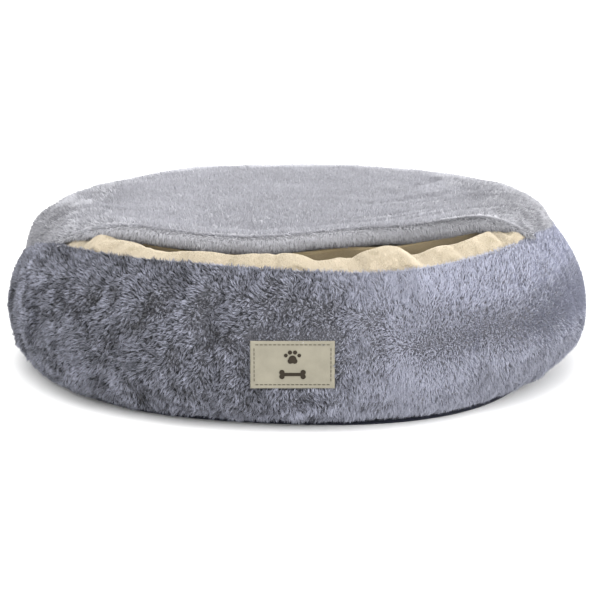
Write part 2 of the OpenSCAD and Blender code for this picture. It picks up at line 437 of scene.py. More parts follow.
def ramp_node(tree, factor, stops):
    """A colour ramp. stops are (place, colour)."""
    made = add_node(tree, "ShaderNodeValToRGB")
    ramp = made.color_ramp
    while len(ramp.elements) < len(stops):
        ramp.elements.new(0.5)
    for element, (where, colour) in zip(ramp.elements, stops):
        element.position = where
        element.color = (*colour, 1)
    tree.links.new(factor, made.inputs["Fac"])
    return made.outputs["Color"]


def bump_node(tree, height, strength, distance):
    made = add_node(tree, "ShaderNodeBump", Strength=strength, Distance=distance)
    tree.links.new(height, made.inputs["Height"])
    return made.outputs["Normal"]


def set_surface(tree, **values):
    """Sets the shader's own sockets, named with _ for a space, to a plain value or to
    another node's output."""
    for key, value in values.items():
        socket = tree.nodes["Principled BSDF"].inputs[key.replace("_", " ")]
        if isinstance(value, bpy.types.NodeSocket):
            tree.links.new(value, socket)
        else:
            socket.default_value = value


def cloth_material(name, dark, light, patch_per_metre, grain_per_metre, grain_bump, rough=0.85, sheen=0.3):
    """Soft cloth: slow patches of colour, a fine nap in colour and bump, and sheen."""
    material, tree = blank_material(name)
    vector = object_coords(tree)
    patches = noise_node(tree, vector, patch_per_metre, 3, 0.5)
    grain = noise_node(tree, vector, grain_per_metre, 5, 0.7)
    tint = scaled(tree, grain, 0.55, scaled(tree, patches, 0.45))
    set_surface(
        tree,
        Base_Color=ramp_node(tree, tint, [(0.34, dark), (0.62, light)]),
        Roughness=range_node(tree, grain, rough - 0.08, min(rough + 0.1, 1)),
        Normal=bump_node(tree, grain, grain_bump, 0.0008),
        Sheen_Weight=sheen,
        Sheen_Roughness=0.5,
        Specular_IOR_Level=0.2,
    )
    return material


def hair_material(name, colour):
    """One shade of pile. A hair is thinner than any texture could follow, so the shade
    is plain and the variety comes from growing several shades side by side."""
    material, tree = blank_material(name)
    set_surface(tree, Base_Color=(*colour, 1), Roughness=0.7, Specular_IOR_Level=0.12)
    set_surface(tree, Sheen_Weight=0.25, Sheen_Roughness=0.5)
    return material


def shades(name, dark, light, count):
    """Shades of pile in even steps from dark to light."""
    steps = [i / (count - 1) for i in range(count)]
    mix = [tuple(d + (l - d) * t for d, l in zip(dark, light)) for t in steps]
    return [hair_material(f"{name}_{i}", colour) for i, colour in enumerate(mix)]


def woven_material(name, colour, threads_per_metre, bump_height, rough, sheen=0.0):
    """Plain weave: two crossed waves of thread, in bump and a little in colour."""
    material, tree = blank_material(name)
    vector = object_coords(tree)
    waves = []
    for axis in ("X", "Z"):
        wave = add_node(tree, "ShaderNodeTexWave", Scale=threads_per_metre / math.pi, Distortion=0.4)
        wave.bands_direction = axis
        tree.links.new(vector, wave.inputs["Vector"])
        waves.append(wave.outputs["Fac"])
    weave = add_node(tree, "ShaderNodeMath", operation="MULTIPLY")
    tree.links.new(waves[0], weave.inputs[0])
    tree.links.new(waves[1], weave.inputs[1])
    level = scaled(tree, weave.outputs[0], 0.35, noise_node(tree, vector, 60, 4, 0.6))
    dark = tuple(c * 0.78 for c in colour)
    set_surface(
        tree,
        Base_Color=ramp_node(tree, level, [(0.35, dark), (0.85, colour)]),
        Normal=bump_node(tree, weave.outputs[0], 0.6, bump_height),
        Roughness=rough,
        Sheen_Weight=sheen,
        Specular_IOR_Level=0.15,
    )
    return material


def metal_material(name, colour):
    """Plain metal with fine wear in its roughness and bump."""
    material, tree = blank_material(name)
    scratches = noise_node(tree, object_coords(tree), 900, 3, 0.5)
    roughness = range_node(tree, scratches, 0.22, 0.42)
    normal = bump_node(tree, scratches, 0.1, 0.0001)
    set_surface(tree, Base_Color=(*colour, 1), Metallic=1, Roughness=roughness, Normal=normal)
    return material


# Colours as the shader takes them
FUR_DARK = (0.030, 0.031, 0.034)
FUR_LIGHT = (0.45, 0.463, 0.555)
# PLUSH_DARK reaches down far enough for the painted shade on the hood's turned-down left side.
PLUSH_DARK = (0.286, 0.286, 0.305)
PLUSH_LIGHT = (0.555, 0.555, 0.59)
# The roll's palest shade is lighter than the hood's, as painted light: the same plush, lit more.
LIP_PAINTED_LIGHT = (0.72, 0.72, 0.76)
FLEECE_DARK = (0.37, 0.31, 0.22)
FLEECE_LIGHT = (0.49, 0.43, 0.33)
NAP_DARK = (0.455, 0.397, 0.295)
NAP_LIGHT = (0.585, 0.516, 0.408)
HOOD_FLEECE_DARK = (0.385, 0.302, 0.172)
HOOD_FLEECE_LIGHT = (0.50, 0.405, 0.252)

fur_skin = cloth_material("fur_backing", (0.06, 0.06, 0.068), (0.14, 0.14, 0.16), 25, 600, 0.5)
plush_skin = cloth_material("plush_backing", (0.30, 0.30, 0.32), (0.46, 0.46, 0.49), 25, 900, 0.6)
fleece = cloth_material("beige_fleece", FLEECE_DARK, FLEECE_LIGHT, 30, 500, 0.8, 0.9, 0.5)
hood_fleece = cloth_material("hood_fleece", HOOD_FLEECE_DARK, HOOD_FLEECE_LIGHT, 30, 700, 0.5, 0.9, 0.4)
cushion_fleece = cloth_material("cushion_fleece", FLEECE_DARK, FLEECE_LIGHT, 24, 650, 0.5, 0.9, 0.5)
base_cloth = woven_material("base_cloth", (0.010, 0.012, 0.022), 900, 0.0003, 0.75, 0.1)
label_cloth = woven_material("label_satin", (0.235, 0.218, 0.168), 2400, 0.00008, 0.5, 0.2)
care_cloth = woven_material("care_satin", (0.80, 0.80, 0.78), 2000, 0.00008, 0.4, 0.2)
zip_cloth = woven_material("zip_tape", (0.58, 0.50, 0.38), 1600, 0.0002, 0.8)
seam_thread = woven_material("seam_thread", (0.36, 0.365, 0.40), 3000, 0.0002, 0.7)
base_thread = woven_material("base_thread", (0.020, 0.022, 0.034), 3000, 0.0002, 0.7)
label_thread = woven_material("label_thread", (0.024, 0.018, 0.011), 3000, 0.0001, 0.6)
nylon = woven_material("zip_nylon", (0.55, 0.48, 0.36), 1500, 0.0003, 0.45)
zip_metal = metal_material("zip_nickel", (0.66, 0.65, 0.63))
fur_hairs = shades("fur_hair", FUR_DARK, FUR_LIGHT, 6)
plush_hairs = shades("plush_hair", PLUSH_DARK, PLUSH_LIGHT, 6)
# The roll's shades reach up to the painted light of its top.
lip_lit_hairs = shades("lip_lit_hair", PLUSH_DARK, LIP_PAINTED_LIGHT, 6)
fleece_hairs = shades("fleece_hair", NAP_DARK, NAP_LIGHT, 3)


# ==== Pile: every hair or tuft is a thin tapering ribbon grown on a skin ====

# How far a root is sunk in its skin, and the least height of any tip over the floor
ROOT_SINK = 0.0006
LOWEST_HAIR = 0.0008


def triangles_of(obj):
    mesh = obj.data
    mesh.calc_loop_triangles()
    tris = np.empty(len(mesh.loop_triangles) * 3, np.int32)
    mesh.loop_triangles.foreach_get("vertices", tris)
    normals = np.empty(len(mesh.vertices) * 3, np.float32)
    mesh.vertex_normals.foreach_get("vector", normals)
    return points_of(obj), tris.reshape(-1, 3), normals.reshape(-1, 3).astype(float)


def scatter(obj, count, rng, keep=None):
    """Roots and normals spread evenly over a skin, or over the part that keep says."""
    points, tris, normals = triangles_of(obj)
    a, b, c = (points[tris[:, i]] for i in range(3))
    area = np.linalg.norm(np.cross(b - a, c - a), axis=1)
    if keep is not None:
        area = area * keep((a + b + c) / 3)
    chosen = rng.choice(len(tris), count, p=area / area.sum())
    u, v = rng.random((2, count, 1))
    flip = u + v > 1
    u, v = np.where(flip, 1 - u, u), np.where(flip, 1 - v, v)
    w = 1 - u - v
    root = w * a[chosen] + u * b[chosen] + v * c[chosen]
    na, nb, nc = (normals[tris[chosen, i]] for i in range(3))
    return root, unit(w * na + u * nb + v * nc)


def turned(v, axis, angle):
    """Each v turned about its unit axis by its angle in radians."""
    c, s = np.cos(angle)[:, None], np.sin(angle)[:, None]
    return v * c + np.cross(axis, v) * s + axis * (np.sum(v * axis, 1)[:, None] * (1 - c))


def nearest(points, centres):
    tree = kdtree.KDTree(len(centres))
    for i, p in enumerate(centres.tolist()):
        tree.insert(p, i)
    tree.balance()
    return np.array([tree.find(p)[1] for p in points.tolist()])


def ribbons(root, control, tip, side, width, steps):
    """Points and faces of tapering ribbons along quadratic curves."""
    rows = []
    for i in range(steps):
        t = i / steps
        middle = (1 - t) ** 2 * root + 2 * t * (1 - t) * control + t * t * tip
        half = 0.5 * width[:, None] * side * (1 - 0.25 * t - 0.45 * t * t)
        rows += [middle - half, middle + half]
    rows.append(tip)
    return np.stack(rows, 1)


def pile_object(name, strands, shade, root_painted_shade, materials):
    """One mesh for many ribbons of the same number of points, with a shade for the root, darker as painted
    shade.
    """
    count, per, _ = strands.shape
    quads = (per - 1) // 2 - 1
    start = (np.arange(count) * per)[:, None]
    loops = []
    for q in range(quads):
        loops.append(start + np.array([2 * q, 2 * q + 1, 2 * q + 3, 2 * q + 2]))
    loops.append(start + np.array([per - 3, per - 2, per - 1]))
    corner = np.concatenate(loops, 1).ravel()
    sizes = np.tile([4] * quads + [3], count)
    mesh = bpy.data.meshes.new(name)
    mesh.vertices.add(count * per)
    mesh.vertices.foreach_set("co", strands.astype(np.float32).ravel())
    mesh.loops.add(len(corner))
    mesh.loops.foreach_set("vertex_index", corner.astype(np.int32))
    mesh.polygons.add(len(sizes))
    starts = np.concatenate([[0], np.cumsum(sizes)[:-1]])
    mesh.polygons.foreach_set("loop_start", starts.astype(np.int32))
    for material in materials:
        mesh.materials.append(material)
    rooted = np.repeat(shade[:, None], quads + 1, 1)
    rooted[:, 0] = root_painted_shade
    mesh.polygons.foreach_set("material_index", rooted.ravel().astype(np.int32))
    mesh.polygons.foreach_set("use_smooth", [True] * len(sizes))
    mesh.update(calc_edges=True)
    return add_to_scene(name, mesh)


def hair_lie(root, normal, flow, swirl, loose, seed, rng):
    """The direction along the skin in which each hair lies, wandering as swirl says."""
    lie = flow(root)
    lie = unit(lie - normal * np.sum(lie * normal, 1)[:, None])
    angle, distance = swirl
    wander = angle * noise(root, distance, seed + 1) + 0.5 * angle * noise(root, distance / 3, seed + 2)
    wander = np.radians(wander * loose + rng.normal(0, 25, len(root)))
    return turned(lie, normal, wander)


def pick_shades(root, leader, even, loose, tone, count, seed, rng):
    """The shade of each hair, in slow patches and clump by clump, with tone's painted light and shade
    added, and of its root, up to two steps darker as painted shade deep in the pile.
    """
    level = 0.11 * noise(root, 0.035, seed + 5) + 0.24 * noise(leader, 0.005, seed + 6)
    level = 0.5 + loose * (level + rng.normal(0, 0.15, len(root))) + tone(root)
    shade = np.clip((level * count).astype(int), 0, count - 1)
    # Painted shade: the root is up to two steps darker where the pile is less brushed.
    return shade, np.maximum(shade - np.round(2 * (1 - even)).astype(int), 0)


def grow(skin, name, count, length, width, lean, materials, seed, flow, tone, brushed, clump, pull,
         swirl, steps, parts=1, keep=None, trim=None):
    """Grows pile on a skin and returns its pieces.

    lean is the hair's angle above the skin; flow gives the direction it lies in; swirl is
    how far and over what distance that direction wanders; clump and pull gather tips;
    where brushed is towards 1 the pile lies flatter and more evenly."""
    rng = np.random.default_rng(seed)
    root, normal = scatter(skin, count, rng, keep)
    even = brushed(root)
    loose = 1 - 0.9 * even
    lie = hair_lie(root, normal, flow, swirl, loose, seed, rng)
    up = lean - 14 * even + 7 * noise(root, 0.03, seed + 3) * loose + rng.normal(0, 9, count)
    up = np.radians(up)[:, None]
    reach = length * (1 + 0.18 * noise(root, 0.015, seed + 4) + rng.normal(0, 0.12, count))
    reach = np.maximum(reach, 0.35 * length)[:, None]
    if trim is not None:
        reach = reach * trim(root)[:, None]
    tip = root + reach * (np.cos(up) * lie + np.sin(up) * normal)
    clumps = max(8, int(count * (width * length * 2.2) / clump**2 * 0.25))
    leaders = rng.choice(count, min(clumps, count // 3), replace=False)
    own = leaders[nearest(root, root[leaders])]
    hold = pull * loose[:, None] * (0.6 + 0.4 * rng.random((count, 1)))
    tip = tip + hold * (tip[own] - tip)
    control = root + 0.55 * reach * (0.85 * np.sin(up) * normal + 0.35 * np.cos(up) * lie + 0.25 * normal)
    root = root - ROOT_SINK * normal
    along = unit(tip - root)
    side = unit(np.cross(along, normal))
    side = turned(side, along, np.radians(rng.uniform(-55, 55, count)))
    wide = width * rng.uniform(0.7, 1.3, count)
    strands = ribbons(root, control, tip, side, wide, steps)
    strands[..., 2] = np.maximum(strands[..., 2], LOWEST_HAIR)
    shade, root_painted_shade = pick_shades(root, root[own], even, loose, tone, len(materials), seed, rng)
    part = (np.argsort(np.argsort(np.arctan2(root[:, 0], -root[:, 1]))) * parts) // count
    pieces = []
    for i in range(parts):
        mine = part == i
        piece_name = name if parts == 1 else f"{name}_{i + 1}"
        pieces.append(pile_object(piece_name, strands[mine], shade[mine], root_painted_shade[mine], materials))
    return pieces


# ==== The ring wall ====


LABEL_LOW, LABEL_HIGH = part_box("label_patch")
LABEL_MIDDLE = (LABEL_LOW + LABEL_HIGH) / 2


def wall_form(depth, turns, rows):
    """The wall's skin from under its foot to the rim seam, softly uneven."""
    turn = np.linspace(-180, 180, turns, endpoint=False)[None, :]
    t = np.linspace(0, 1, rows)[:, None]
    section = FOOT_ANGLE + (rim_angle(turn) - FOOT_ANGLE) * t
    r, z = shell(section, depth)
    points = place(turn + 0 * t, r, z)
    soft = noise(points, 0.09, 11) * 0.0030 + noise(points, 0.035, 12) * 0.0012
    out = unit(points - np.array([0, 0, WIDEST_Z]))
    points = points + out * (soft * smooth(0, 0.25, t) * smooth(0, 0.12, 1 - t))[..., None]
    points[..., 2] = np.maximum(points[..., 2], BASE_TOP)
    return points


def make_wall():
    turns, rows = 220, 34
    points = wall_form(FUR_DEPTH, turns, rows)
    skin = new_object("wall_fur_backing", points, grid_faces(rows, turns, True), fur_skin)
    pins = np.ones((rows, turns))
    pins[2:-2] = 0
    under_label = bump(points[..., 0], LABEL_MIDDLE.x, 0.045) * bump(points[..., 2], LABEL_MIDDLE.z, 0.03)
    pins = np.maximum(pins, np.where(points[..., 1] < 0, np.clip(1.3 * under_label, 0, 1), 0))
    relax_as_cloth(skin, pins.ravel(), frames=12, pressure=2.0, slack=0.03, cap=0.0028)
    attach(skin, "bed")
    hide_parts("wall_cover", "wall_filling")
    return skin


def clear_of_label(points):
    """0 where the label's cloth covers the backing, else 1."""
    x, y, z = points.T
    inset = 0.001
    across = (x > LABEL_LOW.x + inset) & (x < LABEL_HIGH.x - inset)
    upright = (z > LABEL_LOW.z + inset) & (z < LABEL_HIGH.z - inset)
    return np.where((y < -0.2) & across & upright, 0.0, 1.0)


def shorter_by_label(root):
    """Hairs that would fall across the label are shorter."""
    x, y, z = root.T
    over = (y < -0.2) & (x > LABEL_LOW.x - 0.004) & (x < LABEL_HIGH.x + 0.004)
    above = z - LABEL_HIGH.z
    near = over & (above > -0.002) & (above < 0.012)
    return np.where(near, 0.35 + 0.5 * np.clip(above / 0.012, 0, 1), 1.0)


def below_rim(root):
    """How far under its seam with the hood or the lining a point of the wall is."""
    turn = np.degrees(np.arctan2(root[:, 0], -root[:, 1]))
    return rim_height(turn) - root[:, 2]


def fur_trim(root):
    """The pile is shorter along the mouth, at the right foot and where it is brushed, and
    kept off the label."""
    x, y, z = root.T
    mouth = smooth(0.010, 0.0, below_rim(root)) * smooth(-0.08, -0.14, y)
    foot = smooth(0.014, 0.004, z) * smooth(-0.02, 0.05, x)
    return shorter_by_label(root) * (1 - 0.15 * mouth) * (1 - 0.28 * fur_brushed(root)) * (1 - 0.25 * foot)


def fur_brushed(root):
    """1 where the nap has been stroked smooth, on the right, and 0 elsewhere."""
    return smooth(0.0, 0.12, root[:, 0]) * smooth(0.20, -0.04, root[:, 1])


def fur_painted_light(root):
    """Painted light and shade in the pile: paler on the right, where it is also stroked smooth,
    as if lit from there and most of all at the top there; darker at the foot and to the left, as shade."""
    x, y, z = root.T
    # Painted light on the right and at its top there; painted shade at the foot and to the left.
    right = 0.24 * smooth(-0.01, 0.13, x) * smooth(0.20, -0.06, y) - 0.06 * smooth(0.19, 0.27, x)
    side = smooth(0.09, 0.18, x) * smooth(0.10, -0.04, y)
    right = right + side * (0.34 * smooth(0.095, 0.140, z) - 0.07 * smooth(0.10, 0.04, z))
    foot = 0.12 * smooth(0.07, 0.02, z) * smooth(-0.12, 0.10, x)
    left = 0.10 * smooth(0.0, 0.15, -x) + 0.16 * smooth(0.26, 0.29, -x)
    return 0.06 + right - foot - left


def fur_flow(root):
    """Down the wall and drawn a little to one side, but turning upwards near the rim."""
    rise = smooth(0.045 + 0.09 * fur_brushed(root), 0.0, below_rim(root))
    down = np.array([0, 0, 1.0]) * (2 * rise - 1)[:, None]
    round_wall = np.stack([-root[:, 1], root[:, 0], 0 * root[:, 0]], 1)
    return down - 0.35 * unit(round_wall)


def grow_wall_fur(skin):
    pieces = grow(
        skin, "wall_fur", count=320000, length=0.0072, width=0.00064, lean=62, materials=fur_hairs,
        seed=7, flow=fur_flow, tone=fur_painted_light, brushed=fur_brushed, clump=0.0040, pull=0.72,
        swirl=(110, 0.012), steps=2, parts=5, keep=clear_of_label, trim=fur_trim,
    )
    for piece in pieces:
        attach(piece, "bed")


# ==== The lining of the wall and floor ====


def ridges(points, seed):
    """Noise pulled into rounded ridges, as cloth wrinkles."""
    return 1 - 2.6 * np.sqrt(noise(points, 1.0, seed) ** 2 + 0.02)


COVERED_ANGLE = 78.0
COVERED_DEPTH = 0.019


def fold_rise(turn):
    """How far the folds lift the lining's crest."""
    rise = 0 * turn
    for middle, half_width, height in FRONT_FOLDS:
        rise = rise + height / 1000 * bump(turn_gap(turn, middle), 0, half_width)
    return rise


def lining_form(turns, rows):
    """The lining from the rim seam over its crest and down to the floor, and where it is
    in front: 1 in the mouth, and 0 under the hood, where it follows the shoulder."""
    turn = np.linspace(-180, 180, turns, endpoint=False)[None, :]
    front = smooth(CORNER_TURN + 12, CORNER_TURN - 4, np.abs(turn_gap(turn, 0)))
    rim_r, rim_z = shell(rim_angle(turn), FUR_DEPTH + 0.001)
    covered_r, covered_z = shell(COVERED_ANGLE, COVERED_DEPTH)
    crest_z = mixed(CREST_Z + fold_rise(turn), covered_z, front)
    crest_r = mixed(CREST_R, covered_r, front)
    over = np.linspace(90, 0, rows // 3, endpoint=False)[:, None]
    up = 1 - over / 90
    r1 = crest_r + (rim_r - crest_r) * np.sin(np.radians(over))
    z1 = rim_z + (crest_z - rim_z) * np.cos(np.radians(over)) ** 0.8
    under_angle = rim_angle(turn) + (COVERED_ANGLE - rim_angle(turn)) * up
    under_depth = FUR_DEPTH + 0.001 + (COVERED_DEPTH - FUR_DEPTH - 0.001) * smooth(0, 0.3, up)
    under_r, under_z = shell(under_angle, under_depth)
    r1 = mixed(r1, under_r, front)
    z1 = mixed(z1, under_z, front)
    down = np.linspace(90, 0, rows - rows // 3)[:, None]
    c, s = power_curve(down)
    r2 = crest_r - (crest_r - CAVE_R) * c
    z2 = FLOOR_Z + (crest_z - FLOOR_Z) * s
    r = np.concatenate([r1, r2])
    z = np.concatenate([z1, z2])
    points = place(turn + 0 * r, r, z)
    sewn = smooth(0.03, 0.08, z) * smooth(0, 0.2, np.linspace(0, 1, rows))[:, None]
    pleats = noise(np.stack([turn / 9 + 0 * r, z / 0.05, 0 * r], -1), 1.0, 21)
    tucks = ridges(np.stack([turn / 5 + z / 0.04, z / 0.09, 0 * r], -1), 22)
    puckers = ridges(np.stack([turn / 2.2 - z / 0.03, z / 0.03, 0 * r], -1), 23)
    wave = (0.0020 * pleats + 0.0020 * tucks + 0.0008 * puckers) * sewn
    points[..., 0] += wave * np.sin(np.radians(turn))
    points[..., 1] -= wave * np.cos(np.radians(turn))
    points[..., 2] += (0.0014 * tucks + 0.0006 * puckers) * sewn * front
    return points, front


def make_lining():
    turns, rows = 340, 42
    points, front = lining_form(turns, rows)
    faces = grid_faces(rows, turns, True)[:, ::-1]
    lining = new_object("ring_lining", points, faces, fleece)
    pins = np.zeros((rows, turns))
    pins[0] = 1
    pins[-1] = 1
    pins[1:-1] = 0.85 * (1 - front)
    relax_as_cloth(lining, pins.ravel(), frames=14, pressure=1.2, slack=0.06, cap=0.006)
    subdivide(lining)
    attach(lining, "bed")
    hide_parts("wall_lining")
    return lining


def front_crest(points):
    """Where the mouth shows the lining: only there is its nap modelled."""
    return (points[:, 1] < -0.11) & (points[:, 2] > 0.118)


def nap_flow(root):
    return np.array([0.4, -1.0, 0.2]) + 0 * root


def nap_tone(root):
    """Softly mottled."""
    return 0.25 * noise(root, 0.012, 51)


def fully_brushed(root):
    return np.ones(len(root))


def grow_lining_nap(lining):
    pieces = grow(
        lining, "lining_nap", count=150000, length=0.0017, width=0.0006, lean=55,
        materials=fleece_hairs, seed=37, flow=nap_flow, tone=nap_tone, brushed=fully_brushed,
        clump=0.003, pull=0.3, swirl=(60, 0.02), steps=1, keep=front_crest,
    )
    for piece in pieces:
        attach(piece, "bed")


def disc_points(count):
    """A square grid pressed into a unit disc: (a, b) for each point."""
    u, v = np.meshgrid(np.linspace(-1, 1, count), np.linspace(-1, 1, count))
    return u * np.sqrt(1 - v * v / 2), v * np.sqrt(1 - u * u / 2)


def make_floor():
    """The padded floor, stitched through in a ring of shallow dimples."""
    count = 50
    a, b = disc_points(count)
    rho = np.hypot(a, b)
    low_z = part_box("floor_pad")[0].z
    quilt = 0.0012 * np.cos(a * 14) * np.cos(b * 14)
    z = FLOOR_Z - 0.002 + (quilt - 0.001) * (1 - smooth(0.9, 1.0, rho))
    top = np.stack([a * CAVE_R, b * CAVE_R, z], -1)
    faces = grid_faces(count, count, False)
    floor_pad = new_object("floor_fleece", top, faces, fleece)
    thicken(floor_pad, FLOOR_Z - 0.003 - low_z)
    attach(floor_pad, "bed")
    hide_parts("floor_pad", "floor_lining")


def make_cushion():
    """The loose cushion: a crowned round pad with a boxed side that carries the zip."""
    low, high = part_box("cushion_cover")
    side_r = high.x - 0.0008
    round_r = 0.010
    crown = 0.006
    edge_z = high.z - crown
    around = 160
    angle = np.linspace(0, 360, around, endpoint=False)[None, :]
    corner = np.linspace(-90, 90, 13)[:, None]
    lift = np.where(corner < 0, low.z + round_r, edge_z - round_r)
    r_side = side_r - round_r + round_r * np.cos(np.radians(corner)) + 0 * angle
    z_side = lift + round_r * np.sin(np.radians(corner)) + 0 * angle
    rings = np.array([0.93, 0.8, 0.62, 0.42, 0.2, 0.02])[:, None]
    r_top = (side_r - round_r) * rings + 0 * angle
    z_top = edge_z + crown * (1 - rings**2) + 0 * angle
    r = np.concatenate([r_top[::-1], r_side, r_top])
    z = np.concatenate([low.z + 0 * r_top, z_side, z_top])
    a = np.radians(angle)
    points = np.stack([r * np.sin(a), -r * np.cos(a), z], -1)
    rows = len(points)
    cushion = new_object("cushion", points, capped_faces(rows, around), cushion_fleece)
    pins = np.zeros((rows, around))
    pins[: len(rings) + len(corner)] = 0.9
    relax_as_cloth(cushion, pins.ravel(), frames=12, pressure=3.0, slack=0.03, cap=0.004)
    moved = points_of(cushion)
    radius = np.hypot(moved[:, 0], moved[:, 1])
    moved[:, :2] *= np.minimum(1, side_r / np.maximum(radius, 1e-6))[:, None]
    moved[:, 2] = np.maximum(moved[:, 2], low.z)
    set_points(cushion, moved)
    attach(cushion, "bed")
    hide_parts("cushion_cover", "cushion_filling")


# ==== The hood and its lip ====


def dome_table(depth):
    """(length along, radius, height) from the hood's middle out and down its shoulder."""
    r_flat = np.linspace(0, FLAT_R, 60)
    z_flat = HOOD_TOP - CROWN * (r_flat / FLAT_R) ** 2 - depth
    r_side, z_side = shell(np.linspace(90, 20, 60), depth)
    r = np.concatenate([r_flat, r_side[1:]])
    z = np.concatenate([z_flat, z_side[1:]])
    length = np.concatenate([[0], np.cumsum(np.hypot(np.diff(r), np.diff(z)))])
    return length, r, z


SEAM_TUCK = 0.0045


def hood_form(a, b, depth, roll_share):
    """The hood's cloth at unit-disc coordinates (a, b); b = -1 is its front edge, which
    meets the roll a share of its depth from its front."""
    turn = np.degrees(np.arctan2(a, -b))
    t = np.hypot(a, b)
    length, r_of, z_of = dome_table(depth)
    rim_r, _ = shell(rim_angle(turn), depth)
    front_r = np.minimum(roll_r(turn, roll_share), rim_r)
    is_front = np.abs(turn) < CORNER_TURN
    edge_r = np.where(is_front, front_r, rim_r)
    edge = np.interp(edge_r, r_of, length)
    along = t * edge
    tuck = SEAM_TUCK * smooth(0.93, 1, t) * smooth(CORNER_TURN - 2, CORNER_TURN + 14, np.abs(turn))
    r = np.interp(along, length, r_of) - 0.7 * tuck
    z = np.interp(along, length, z_of) - 0.7 * tuck
    points = place(turn, r, z)
    return settle(points, depth)


def crease_dip(x, y):
    """Depth of the hood's pulled creases at a point."""
    dip = 0 * x
    for x0, y0, x1, y1, bow, half_width, depth in CREASES:
        start, along = np.array([x0, y0]) / 1000, np.array([x1 - x0, y1 - y0]) / 1000
        t = ((x - start[0]) * along[0] + (y - start[1]) * along[1]) / np.sum(along**2)
        across = ((x - start[0]) * along[1] - (y - start[1]) * along[0]) / np.hypot(*along)
        bend = bow / 1000 * 4 * t * (1 - t)
        wide = half_width / 1000
        ends = smooth(-0.15, 0.35, t) * (1 - smooth(0.85, 1.15, t))
        groove = bump(across, bend, wide) - 0.6 * bump(across, bend + 2 * wide, wide)
        dip = dip + depth / 1000 * groove * ends
    return dip


def settle(points, depth):
    """Lets the front hang as the lip does, and shapes the shoulders and creases."""
    x, y = points[..., 0], points[..., 1]
    _, r_of, z_of = dome_table(depth)
    x_in = np.clip(x, -CORNER_X, CORNER_X)
    edge_y = lip_y(x_in)
    nominal = np.interp(np.hypot(x_in, edge_y), r_of, z_of)
    hang = lip_low_z(x_in) + roll_height(x_in) - depth - nominal
    behind = y - edge_y - roll_depth(x_in)
    near = 1 - smooth(0, 0.12, behind)
    inside = 1 - smooth(CORNER_X * 0.93, CORNER_X * 1.02, np.abs(x))
    shoulders = 0.004 * bump(x, 0.222, 0.035) * bump(y, 0.03, 0.11)
    shoulders = shoulders - 0.0025 * bump(x, -0.165, 0.04) * bump(y, 0.05, 0.12)
    shoulders = shoulders + 0.002 * bump(x, -0.11, 0.05) * bump(y, 0.17, 0.08)
    waves = 0.0010 * noise(points, 0.075, 31) + 0.0004 * noise(points, 0.03, 32)
    calm = smooth(0.004, 0.05, BED_R - np.hypot(x, y) - 0.03)
    stitched = 0.0003 * bump(behind, 0.003, 0.012) * (1 - smooth(0.10, 0.19, np.abs(x)))
    points[..., 2] += (hang - stitched) * near * inside + shoulders + waves * calm - crease_dip(x, y)
    return points


def hood_pins(a, b):
    """The hood is sewn down all round its edge, and only lightly held inside it."""
    t = np.hypot(a, b)
    return np.clip(smooth(0.90, 0.97, t) + 0.05, 0, 1)


HOOD_GRID = 96


def make_hood():
    """The hood's skin, and how far the cloth moved as it settled."""
    count = HOOD_GRID
    a, b = disc_points(count)
    points = hood_form(a, b, PLUSH_DEPTH, roll_share=0.75)
    faces = grid_faces(count, count, False)
    hood = new_object("hood_plush_backing", points, faces, plush_skin)
    relax_as_cloth(hood, hood_pins(a, b).ravel(), frames=14, slack=0.02, gravity=0.1, cap=0.0025)
    settled = points_of(hood) - points.reshape(-1, 3)
    return hood, settled


def finish_hood(hood):
    thicken(hood, thickness=0.0025)
    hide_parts("hood_panel", "hood_wadding", "lip_panel", "lip_wadding")
    bend_with_lip(hood)


def bend_with_lip(piece):
    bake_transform(piece)


def make_hood_lining(settled):
    """The fleece under the hood, which follows it and hangs in a slack fold behind the lip."""
    count = HOOD_GRID
    a, b = disc_points(count)
    inset = 0.985
    sag_depth, sag_middle, sag_width = 0.038, 0.034, 0.024
    points = hood_form(a * inset, b * inset, HOOD_THICK, roll_share=0.45)
    points += settled.reshape(count, count, 3)
    faces = grid_faces(count, count, False)[:, ::-1]
    lining = new_object("hood_fleece_lining", points, faces, hood_fleece)
    x, y, _ = np.moveaxis(points, -1, 0)
    behind = np.clip(y - lip_y(np.clip(x, -CORNER_X, CORNER_X)), 0, 1)
    sag = sag_depth * bump(behind, sag_middle, sag_width) * (1 - smooth(0.16, 0.225, np.abs(x)))
    sag = sag * (1 + 0.10 * noise(points, 0.045, 61) + 0.04 * noise(points, 0.015, 62))
    points[..., 2] -= sag
    set_points(lining, points)
    thicken(lining, thickness=0.0012)
    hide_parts("hood_lining", "lip_lining")
    bend_with_lip(lining)


def roll_section(x, steps):
    """The padded roll's cross-section at x, as (forward, up) pairs about its middle."""
    forward, up = power_curve(np.linspace(0, 360, steps, endpoint=False), ROLL_FULLNESS)
    return roll_depth(x) / 2 * forward, roll_height(x) / 2 * up


